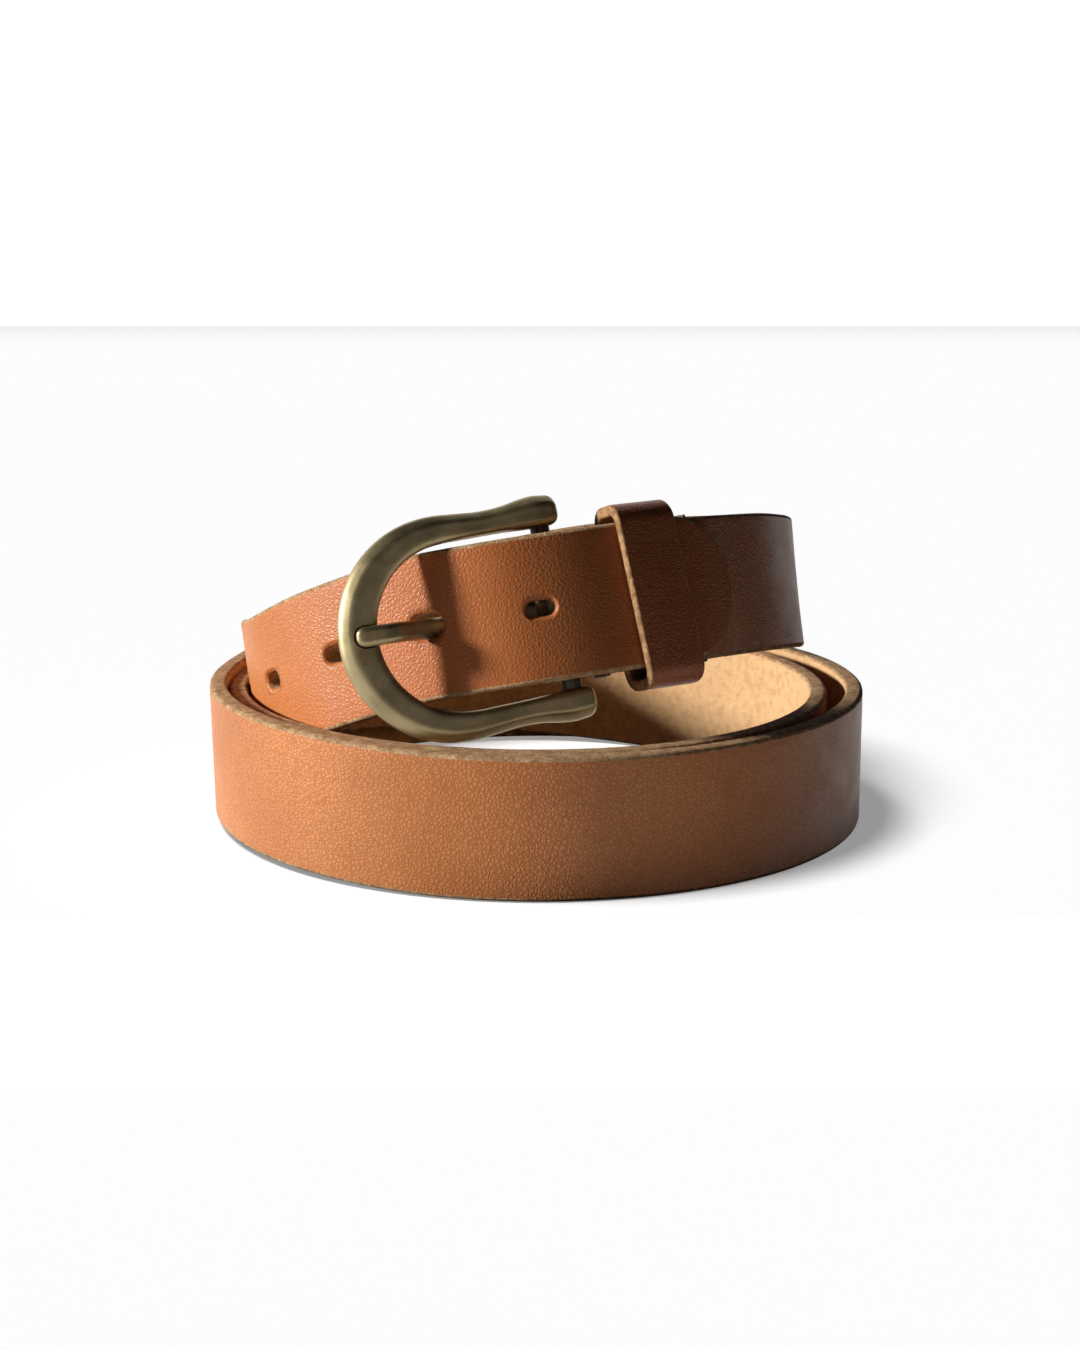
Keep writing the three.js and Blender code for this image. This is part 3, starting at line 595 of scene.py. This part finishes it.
def flesh_side(name, light, dark):
    """The suede side: pale, dull and speckled."""
    s = Shader(name)
    speckle = s.noise(520.0, 3.0, 0.6)
    clouds = s.noise(90.0, 3.0)
    nap = s.noise(2600.0, 3.0, 0.7)
    base = s.blend(s.ramp(speckle, 0.42, 0.68, 0.0, 0.75), light, dark)
    base = s.blend(s.ramp(clouds, 0.4, 0.75, 0.0, 0.3), base, dark)
    height = s.maths("ADD", nap, s.maths("MULTIPLY", speckle, 0.8))
    s.set(Base_Color=base, Roughness=0.95, Specular_IOR_Level=0.15)
    s.set(Normal=s.bump(height, 0.0004, 0.8))
    return s.material


def antique_brass(name):
    """Satin brass with a dark olive patina and a few small pits."""
    s = Shader(name)
    clouds = s.noise(150.0, 4.0, 0.6)
    speckle = s.noise(1300.0, 3.0, 0.6)
    base = s.blend(s.ramp(clouds, 0.3, 0.7), (0.3, 0.235, 0.122), (0.4, 0.32, 0.175))
    pits = s.ramp(s.cells(520.0), 0.0, 0.16, 1.0, 0.0)
    base = s.blend(s.maths("MULTIPLY", pits, 0.5), base, (0.05, 0.045, 0.03))
    rough = s.ramp(clouds, 0.25, 0.75, 0.38, 0.5)
    height = s.maths("SUBTRACT", s.maths("MULTIPLY", speckle, 0.5), pits)
    s.set(Base_Color=base, Metallic=0.92, Roughness=rough, Normal=s.bump(height, 0.00005, 0.5))
    return s.material


def drawn_steel(name):
    s = Shader(name)
    s.set(Base_Color=(0.075, 0.065, 0.05, 1.0), Metallic=1.0, Roughness=0.45)
    s.set(Normal=s.bump(s.noise(900.0), 0.00003, 0.4))
    return s.material


def waxed_thread(name):
    s = Shader(name)
    twist = s.noise(1800.0, 3.0)
    s.set(Base_Color=s.blend(s.ramp(twist, 0.3, 0.7), (0.07, 0.04, 0.022), (0.2, 0.12, 0.065)))
    s.set(Roughness=0.7, Normal=s.bump(twist, 0.0002, 0.8))
    return s.material


# ------------------------------------------------------------------ strap

SWEEP_STEP = 1.2
GRAIN_RADIUS = 0.85
FLESH_RADIUS = 0.6


def strap_outline():
    """The strap's section as (inset from the edge, side, height) and each segment's material.

    A point's inset is measured in from the cut edge, on the side -1 or 1; points on the faces
    have a share of the width instead, given as side between -1 and 1 with the face's inset.
    """
    half = STRAP_THICKNESS / 2
    points = []
    kinds = []

    def add(inset, side, height, kind):
        points.append((inset, side, height))
        kinds.append(kind)

    for i in range(21):
        add(GRAIN_RADIUS, 1 - i / 10, 1.0, GRAIN if i < 20 else EDGE)
    for i in range(1, 4):
        c, s = heading(30 * i)
        add(GRAIN_RADIUS * (1 - s), -1, 1 - GRAIN_RADIUS * (1 - c) / half, EDGE)
    add(0.0, -1, 0.05, EDGE)
    for i in range(3):
        c, s = heading(30 * i)
        add(FLESH_RADIUS * (1 - c), -1, -1 + FLESH_RADIUS * (1 - s) / half, EDGE)
    for i in range(9):
        add(FLESH_RADIUS, -1 + 2 * i / 8, -1.0, FLESH if i < 8 else EDGE)
    for i in range(2, -1, -1):
        c, s = heading(30 * i)
        add(FLESH_RADIUS * (1 - c), 1, -1 + FLESH_RADIUS * (1 - s) / half, EDGE)
    add(0.0, 1, 0.05, EDGE)
    for i in range(3, 0, -1):
        c, s = heading(30 * i)
        add(GRAIN_RADIUS * (1 - s), 1, 1 - GRAIN_RADIUS * (1 - c) / half, EDGE)
    return np.array(points), kinds


def mark_tip_distance(obj, distances):
    """Keeps each point's distance from the tip, for the painted shade on the leather's end."""
    layer = obj.data.attributes.new("tip_distance", "FLOAT", "POINT")
    layer.data.foreach_set("value", (distances * MM).astype(np.float32).ravel())


def strap_sheet(materials):
    """The whole strap before its holes are punched."""
    outline, kinds = strap_outline()
    inset, side, height = outline.T
    half = STRAP_WIDTH / 2
    body_end = route.length - half
    count = int(body_end / SWEEP_STEP)
    distances = np.linspace(0, body_end, count)
    along = np.repeat(distances[:, None], len(side), axis=1)
    across = np.broadcast_to((half - inset) * side, along.shape)
    # At the round tip every point follows a half circle of its own radius.
    turns = np.linspace(90, 0, 26)[1:, None]
    reach = (half - inset) * np.cos(np.radians(turns))
    along = np.concatenate([along, body_end + reach])
    across = np.concatenate([across, (half - inset) * side * np.sin(np.radians(turns))])
    heights = np.broadcast_to(height, along.shape)
    rings = strap_place(along, across, heights)
    strap = make_mesh("leather_strap", rings, materials, faces_slot=kinds)
    mark_tip_distance(strap, route.length - along)
    return strap


def obround(length, width, steps=10):
    """Points round a slot's outline: (along, across)."""
    end = (length - width) / 2
    points = []
    for side in (1, -1):
        for i in range(steps + 1):
            c, s = heading(-90 + 180 * i / steps)
            points.append((side * (end + width / 2 * c), side * width / 2 * s))
    return np.array(points)


# How a hole's mouth flares: height above the strap's middle, and growth of the outline.
HOLE_PROFILE = [
    (-2.15, 0.25), (-1.9, 0.2), (-1.5, 0.0), (0.2, 0.0), (0.8, 0.14), (1.2, 0.4),
    (1.5, 0.8), (1.75, 1.4), (1.95, 2.3), (2.5, 3.6),
]
# The row of the profile where the grain, pressed in by the punch, takes over from the cut wall.
HOLE_LIP_ROW = 4


def hole_punch(tip_distance, length, width):
    """The cutter for one prong hole, with its lip."""
    point, along, across, grain, _ = strap_frames(np.array(route.length - tip_distance))
    rings = []
    for height, growth in HOLE_PROFILE:
        outline = obround(length + growth, width + growth)
        rings.append([point + along * u + across * v + grain * height for u, v in outline])
    punch = make_mesh("punch", rings, faces_slot=[EDGE] * len(outline))
    for polygon in punch.data.polygons:
        if polygon.index >= HOLE_LIP_ROW * len(outline):
            polygon.material_index = GRAIN
    mark_tip_distance(punch, np.full(len(punch.data.vertices), tip_distance))
    return punch


def prong_slot():
    """The slot through both layers of the fold, where the prong comes out."""
    half = PRONG_SLOT_WIDTH / 2
    inner = BUCKLE_LAYER_RADIUS - PRONG_SLOT_DEPTH
    outer = BUCKLE_LAYER_RADIUS + STRAP_THICKNESS / 2 + LAYER_GAP / 2
    corners = [(inner, -half), (outer, -half), (outer, half), (inner, half)]
    rings = []
    for turn in np.linspace(PRONG_SLOT_FROM, PRONG_SLOT_TO, 12):
        rings.append([loop_point(BAR_ANGLE + turn, radius, across) for radius, across in corners])
    return make_mesh("slot", rings, faces_slot=[EDGE] * 4)


def make_strap():
    strap = strap_sheet([
        grain_leather("tan grain", (0.56, 0.205, 0.062), shade_painted_end=True),
        raw_edge("tan raw edge", (0.82, 0.52, 0.28), (0.4, 0.21, 0.095)),
        flesh_side("pale flesh side", (0.7, 0.43, 0.215), (0.56, 0.31, 0.14)),
    ])
    for i in range(HOLE_COUNT):
        size = PRONG_HOLE_SIZE if i == PRONG_HOLE else HOLE_SIZE
        carve(strap, hole_punch(TIP_TO_FIRST_HOLE + i * HOLE_PITCH, *size))
    carve(strap, prong_slot())
    smooth(strap, 40)
    declare(strap, "strap", "strap")


# ------------------------------------------------------------------ stitches


def stitch_row(name, distance, fold_back_radius, node, material):
    """One thread: along both faces, dipping at each hole, and over both edges."""
    angle = angle_from_bar(distance)
    outer = BUCKLE_LAYER_RADIUS + STRAP_THICKNESS / 2 - THREAD_INSET_OUTER
    inner = fold_back_radius - SKIVED_THICKNESS / 2 - THREAD_INSET_INNER
    edge = STRAP_WIDTH / 2 + THREAD_RADIUS * 0.6
    last = STITCH_PITCH * (STITCHES_PER_ROW - 1) / 2
    stitches = 2 * edge / STITCH_PITCH
    path = []

    def wave(across):
        return math.cos(2 * math.pi * (across + last) / STITCH_PITCH) * 0.5 + 0.5

    sweep = np.linspace(-edge, edge, int(stitches * STEPS_PER_STITCH))
    for across in sweep:
        path.append(loop_point(angle, outer - THREAD_WAVE_OUTER * wave(across), across))
    for share in (0.25, 0.5, 0.75):
        path.append(loop_point(angle, outer + (inner - outer) * share, edge + 0.1))
    for across in sweep[::-1]:
        path.append(loop_point(angle, inner + THREAD_WAVE_INNER * wave(across), across))
    for share in (0.25, 0.5, 0.75):
        path.append(loop_point(angle, inner + (outer - inner) * share, -edge - 0.1))
    thread = closed_tube(name, path, THREAD_RADIUS, material)
    declare(thread, "strap", node)


# ------------------------------------------------------------------ buckle frame and heel bar

# Along the lower arm, from near its end to the bow: x, outer and inner half width, and half
# thickness.
ARM_STATIONS = [
    (-2.2, 23.3, 16.95, 2.75),
    (0.2, 23.6, 16.9, ARM_END_HALF_THICKNESS),
    (3, 23.4, 17, 2.8),
    (7, 22.7, 17.2, 2.5),
    (12, 22.4, FRAME_INNER_HALF_WIDTH, FRAME_HALF_THICKNESS),
    (17, 22.8, FRAME_INNER_HALF_WIDTH, FRAME_HALF_THICKNESS),
]
ARM_END_REACH = 2.0
BOW_STATIONS = 13
# The frame's section: -1 inside to 1 outside, and -1 back to 1 front. The outside of the front
# is a wide bevel.
FRAME_SECTION = [
    (-1.0, 0.35), (-0.97, 0.66), (-0.86, 0.88), (-0.68, 0.98), (-0.4, 1.0), (0.0, 1.0),
    (0.3, 1.0), (0.42, 0.96), (0.54, 0.83), (0.72, 0.6), (0.88, 0.36), (0.97, 0.1),
    (1.0, -0.15), (0.96, -0.45), (0.84, -0.74), (0.6, -0.94), (0.25, -1.0), (-0.4, -1.0),
    (-0.78, -0.94), (-0.95, -0.7), (-1.0, -0.3),
]


def round_section(points, per_span=2):
    """A closed section made smoother by a curve through its points."""
    around = np.array(points + points[:3], float)
    curve = Curve(np.column_stack([around, np.zeros(len(around))]))
    start, stop = curve.at_station[1], curve.at_station[-2]
    count = len(points) * per_span
    return curve.at(np.linspace(start, stop, count, endpoint=False))[:, :2]


def frame_stations():
    """Rows of the section's middle (x, z), half width vector (x, z) and half thickness."""

    def row(inner, outer, thickness):
        inner, outer = np.array(inner), np.array(outer)
        return [*(inner + outer) / 2, *(outer - inner) / 2, thickness]

    def arm(side):
        return [row((x, side * i), (x, side * o), t) for x, o, i, t in ARM_STATIONS]

    rows = arm(-1)
    for turn in np.linspace(-90, 90, BOW_STATIONS):
        c, s = heading(turn)
        rows.append(row(
            (BOW_INNER_CENTRE + FRAME_INNER_HALF_WIDTH * c, FRAME_INNER_HALF_WIDTH * s),
            (BOW_OUTER_CENTRE + FRAME_OUTER_HALF_WIDTH * c, FRAME_OUTER_HALF_WIDTH * s),
            FRAME_HALF_THICKNESS,
        ))
    return rows + arm(1)[::-1]


def make_buckle_frame(brass):
    rows = np.array(frame_stations())
    curve = Curve(rows, spacing=rows[:, :2])
    values = curve.at(np.linspace(0, curve.length, 170))
    section = round_section(FRAME_SECTION)
    rings = []
    # Each arm's end closes in a blunt curve, then the arms and bow run between them.
    blunt = [(math.sin(t), max(math.cos(t), 0.02) ** 0.7) for t in np.linspace(1.5, 0.15, 9)]

    def ring(value, scale=1.0, slide=0.0):
        x, z, half_x, half_z, thickness = value
        return [
            (x - slide + half_x * a * scale, thickness * b * scale, z + half_z * a * scale)
            for a, b in section
        ]

    for reach, scale in blunt:
        rings.append(ring(values[0], scale, ARM_END_REACH * reach))
    rings += [ring(value) for value in values]
    for reach, scale in blunt[::-1]:
        rings.append(ring(values[-1], scale, ARM_END_REACH * reach))
    rings = from_bar(np.array(rings), FRAME_LIFT)
    obj = make_mesh("buckle_horseshoe", rings, [brass])
    carve(obj, notch_cutter())
    carve(obj, bar_bore())
    smooth(obj, 32)
    declare(obj, "buckle", "buckle_frame")


def notch_cutter():
    """The round-bottomed seat in the bow for the prong's tip."""
    half = PRONG_WIDTH / 2 + NOTCH_CLEARANCE
    rings = []
    for turn in np.linspace(0, 88, 12):
        c, s = heading(turn)
        rings.append((NOTCH_END - half + half * s, c))
    places = [(NOTCH_END - NOTCH_LENGTH, 1.0), *rings]
    cutter = []
    for x, scale in places:
        cutter.append([
            (x, FRAME_HALF_THICKNESS + 0.1 + (NOTCH_DEPTH + 0.1) * scale * math.sin(t),
             half * scale * math.cos(t))
            for t in np.arange(24) * 2 * math.pi / 24
        ])
    shape = np.array(cutter) @ turned("y", PRONG_SKEW - BAR_SKEW).T
    return make_mesh("notch", from_bar(shape, FRAME_LIFT))


def bar_shape(radius, half_length):
    turns = np.arange(40) * 2 * math.pi / 40
    return [
        [(radius * math.cos(t), radius * math.sin(t), end) for t in turns]
        for end in (-half_length, half_length)
    ]


def bar_bore():
    shape = bar_shape(BAR_RADIUS + BAR_BORE_CLEARANCE, BAR_HALF_LENGTH + LAYER_GAP)
    return make_mesh("bore", from_bar(shape, FRAME_LIFT))


def make_heel_bar(steel):
    shape = from_bar(bar_shape(BAR_RADIUS, BAR_HALF_LENGTH), FRAME_LIFT)
    bar = make_mesh("bar_round", shape, [steel])
    smooth(bar)
    declare(bar, "buckle", "heel_bar")


# ------------------------------------------------------------------ prong

# The prong's side view: from the curl, up through the hole, and along the bow's seat.
PRONG_LINE = [
    (3.4, 0), (10, -1), (17, -2.3), (22.8, -2.5), (27.4, 0.2), (31.2, 4), (34.9, 7.2),
    (40.2, 7.9),
]


def make_prong(brass):
    line = Curve([(x, y, 0) for x, y in PRONG_LINE])
    distances = np.linspace(0, line.length, 60)
    places = line.at(distances)
    along = rows_unit(line.slope(distances))
    section = rounded_box(PRONG_WIDTH / 2, PRONG_THICKNESS / 2, PRONG_THICKNESS * 0.5, 6)
    rings = []

    def ring(place, direction, scale=1.0):
        up = np.array([-direction[1], direction[0], 0])
        return [
            place + up * height * scale + np.array([0, 0, width * scale])
            for width, height in section
        ]

    for place, direction in zip(places, along):
        rings.append(ring(place, direction))
    for turn in np.linspace(10, 86, 10):
        c, s = heading(turn)
        rings.append(ring(places[-1] + along[-1] * s * PRONG_WIDTH * 0.5, along[-1], c ** 0.8))
    shank = make_mesh("prong_pin", from_bar(np.array(rings), 0, PRONG_SKEW), [brass])
    wall = (CURL_OUTER_RADIUS - CURL_INNER_RADIUS) / 2
    middle = (CURL_OUTER_RADIUS + CURL_INNER_RADIUS) / 2
    curl = []
    for turn in np.linspace(0, 360, 48, endpoint=False):
        c, s = heading(turn)
        curl.append([
            ((middle + depth) * c, (middle + depth) * s, width)
            for width, depth in rounded_box(PRONG_WIDTH / 2, wall, 0.5, 3)
        ])
    ring_of_curl = make_mesh("curl", from_bar(np.array(curl), 0, PRONG_SKEW), closed=True)
    carve(shank, ring_of_curl, "UNION")
    smooth(shank, 35)
    declare(shank, "prong", "prong")


# ------------------------------------------------------------------ keeper


def keeper_path():
    """The keeper strip's middle line: across, radius and the turn of its outward side."""
    front = TIP_LAYER_RADIUS + STRAP_THICKNESS / 2 + LAYER_GAP + KEEPER_THICKNESS / 2
    gap = LAYER_GAP - KEEPER_EASE
    back = BUCKLE_LAYER_RADIUS - STRAP_THICKNESS / 2 - gap - KEEPER_THICKNESS / 2
    corner = KEEPER_CORNER_RADIUS
    side = KEEPER_HALF_HEIGHT - corner
    path = [(a, back, -90) for a in np.linspace(0.15, side, 8, endpoint=False)]
    corners = [
        (side, back + corner, -90), (side, front - corner, 0),
        (-side, front - corner, 90), (-side, back + corner, 180),
    ]
    for number, (across, radius, start) in enumerate(corners):
        for turn in np.linspace(start, start + 90, 12):
            c, s = heading(turn)
            path.append((across + corner * c, radius + corner * s, turn))
        if number == 1:
            path += [(a, front, 90) for a in np.linspace(side, -side, 22)[1:-1]]
    path += [(a, back, 270) for a in np.linspace(-side, -0.15, 9)[1:]]
    return path


def make_keeper():
    half_width = KEEPER_WIDTH / 2
    section = rounded_box(half_width, KEEPER_THICKNESS / 2, 0.55, 3)
    count = len(section)
    kinds = []
    for i in range(count):
        width = (section[i][0] + section[(i + 1) % count][0]) / 2
        height = (section[i][1] + section[(i + 1) % count][1]) / 2
        on_face = abs(width) < half_width - 0.6
        kinds.append((GRAIN if height > 0 else FLESH) if on_face else EDGE)
    skew = KEEPER_SKEW / TIP_LAYER_RADIUS
    rings = []
    for across, radius, turn in keeper_path():
        c, s = heading(turn)
        ring = []
        for width, depth in section:
            place = across + depth * c - KEEPER_DROP
            angle = KEEPER_ANGLE + math.degrees(width / TIP_LAYER_RADIUS) - place * skew
            ring.append(loop_point(angle, radius + depth * s, place))
        rings.append(ring)
    keeper = make_mesh("keeper_band", rings, [
        grain_leather("brown grain", (0.36, 0.115, 0.04), 0.4),
        raw_edge("brown raw edge", (0.72, 0.41, 0.2), (0.3, 0.14, 0.06)),
        flesh_side("brown flesh side", (0.3, 0.16, 0.08), (0.2, 0.1, 0.05)),
    ], faces_slot=kinds)
    smooth(keeper, 40)
    declare(keeper, "keeper", "keeper_loop")


# ------------------------------------------------------------------ camera, light and floor

# In metres and degrees.
CAMERA_PLACE = (0.0002, -0.5152, 0.1435)
CAMERA_PITCH = 12.33
CAMERA_LENS = 61.33
FLOOR_REACH = 8.0
# Left, right, far and top.
BACKDROP = (-3.6, 1.5, 1.7, 2.2)
# The wall on the left runs from the backdrop's left edge to this x and y.
SIDE_WALL = (-2.3, -1.3)
# Left, right, near and far, just above the floor in front of the ring.
CARD = (-0.13, 0.11, -0.17, -0.084)
CARD_HEIGHT = 0.0003
BELT_MIDDLE = Vector((0, 0, 0.03))


def make_camera():
    data = bpy.data.cameras.new("camera")
    data.lens = CAMERA_LENS
    data.sensor_width = 36.0
    data.clip_start = 0.01
    camera = bpy.data.objects.new("camera", data)
    camera.location = CAMERA_PLACE
    camera.rotation_euler = (math.radians(90 - CAMERA_PITCH), 0, 0)
    bpy.context.scene.collection.objects.link(camera)
    bpy.context.scene.camera = camera


def aim(light, azimuth, elevation, distance):
    """Puts a light in a direction from the belt, facing it. Azimuth 270 is the front."""
    ca, sa = heading(azimuth)
    ce, se = heading(elevation)
    away = Vector((ca * ce, sa * ce, se))
    light.location = BELT_MIDDLE + away * distance
    light.rotation_euler = away.to_track_quat("Z", "Y").to_euler()


def make_light(name, kind, azimuth, elevation, distance, energy, lights_up, colour=(1, 1, 1)):
    """A light that falls only on the given collection; everything shades it."""
    data = bpy.data.lights.new(name, kind)
    data.energy = energy
    data.color = colour
    light = bpy.data.objects.new(name, data)
    aim(light, azimuth, elevation, distance)
    light.light_linking.receiver_collection = lights_up
    bpy.context.scene.collection.objects.link(light)
    return data


def make_plane(name, corners, brightness, diffuse=0.0):
    """A stage surface that glows white and may also be lit."""
    mesh = bpy.data.meshes.new(name)
    mesh.from_pydata(corners, [], [(0, 1, 2, 3)])
    plane = bpy.data.objects.new(name, mesh)
    bpy.context.scene.collection.objects.link(plane)
    s = Shader(name)
    s.set(Base_Color=(diffuse, diffuse, diffuse, 1.0), Roughness=0.9, Specular_IOR_Level=0.0)
    s.set(Emission_Color=(1, 1, 1, 1), Emission_Strength=brightness)
    mesh.materials.append(s.material)
    return plane


def make_studio():
    """A white floor and surround, a key light from the left and weak fills."""
    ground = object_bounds()[0].z
    belt = bpy.data.collections.new("belt")
    for obj in bpy.context.scene.objects:
        if obj.type == "MESH":
            belt.objects.link(obj)
    sheet = bpy.data.collections.new("sheet")

    r = FLOOR_REACH
    corners = [(-r, -r, ground), (r, -r, ground), (r, r, ground), (-r, r, ground)]
    floor = make_plane("floor", corners, 0.3, 0.9)
    floor.visible_diffuse = False
    sheet.objects.link(floor)
    left, right, far, top = BACKDROP
    corners = [(left, far, ground), (right, far, ground), (right, far, top), (left, far, top)]
    backdrop = make_plane("backdrop", corners, 1.1)
    backdrop.visible_diffuse = False
    corners = [(left, far, ground), (left, far, top), (*SIDE_WALL, top), (*SIDE_WALL, ground)]
    side_wall = make_plane("side_wall", corners, 0.9)
    side_wall.visible_diffuse = False
    side_wall.visible_camera = False
    left, right, near, far = CARD
    level = ground + CARD_HEIGHT
    corners = [(left, near, level), (right, near, level), (right, far, level), (left, far, level)]
    card = make_plane("bounce_card", corners, 0.9)
    card.visible_camera = False
    card.visible_shadow = False

    make_light("key", "AREA", 191, 17, 2.0, 72, belt, (0.98, 1.0, 1.0)).size = 0.25
    make_light("fill", "AREA", 285, 12, 1.5, 0.72, belt, (1.0, 0.82, 0.9)).size = 1.0
    make_light("floor_sun", "SUN", 195, 66, 1.0, 2.6, sheet).angle = math.radians(24)

    world = bpy.data.worlds.new("studio")
    bpy.context.scene.world = world
    world.use_nodes = True
    world.node_tree.nodes["Background"].inputs["Color"].default_value = (1, 1, 1, 1)
    world.cycles_visibility.diffuse = False
    world.cycles_visibility.glossy = False
    bpy.context.scene.view_settings.view_transform = "Standard"


# ------------------------------------------------------------------ assembly

make_camera()
make_strap()
thread = waxed_thread("dark waxed thread")
stitch_row(
    "thread_bar_side", BAR_SIDE_ROW, BAR_SIDE_ROW_RADIUS, "stitch_row_bar_side", thread,
)
stitch_row(
    "thread_keeper_side", KEEPER_SIDE_ROW, KEEPER_SIDE_ROW_RADIUS, "stitch_row_keeper_side", thread,
)
brass = antique_brass("antique brass")
steel = drawn_steel("drawn steel")
make_buckle_frame(brass)
make_heel_bar(steel)
make_prong(brass)
make_keeper()
frame["nodes"]["keeper_staple"].data.materials.clear()
frame["nodes"]["keeper_staple"].data.materials.append(steel)
make_studio()
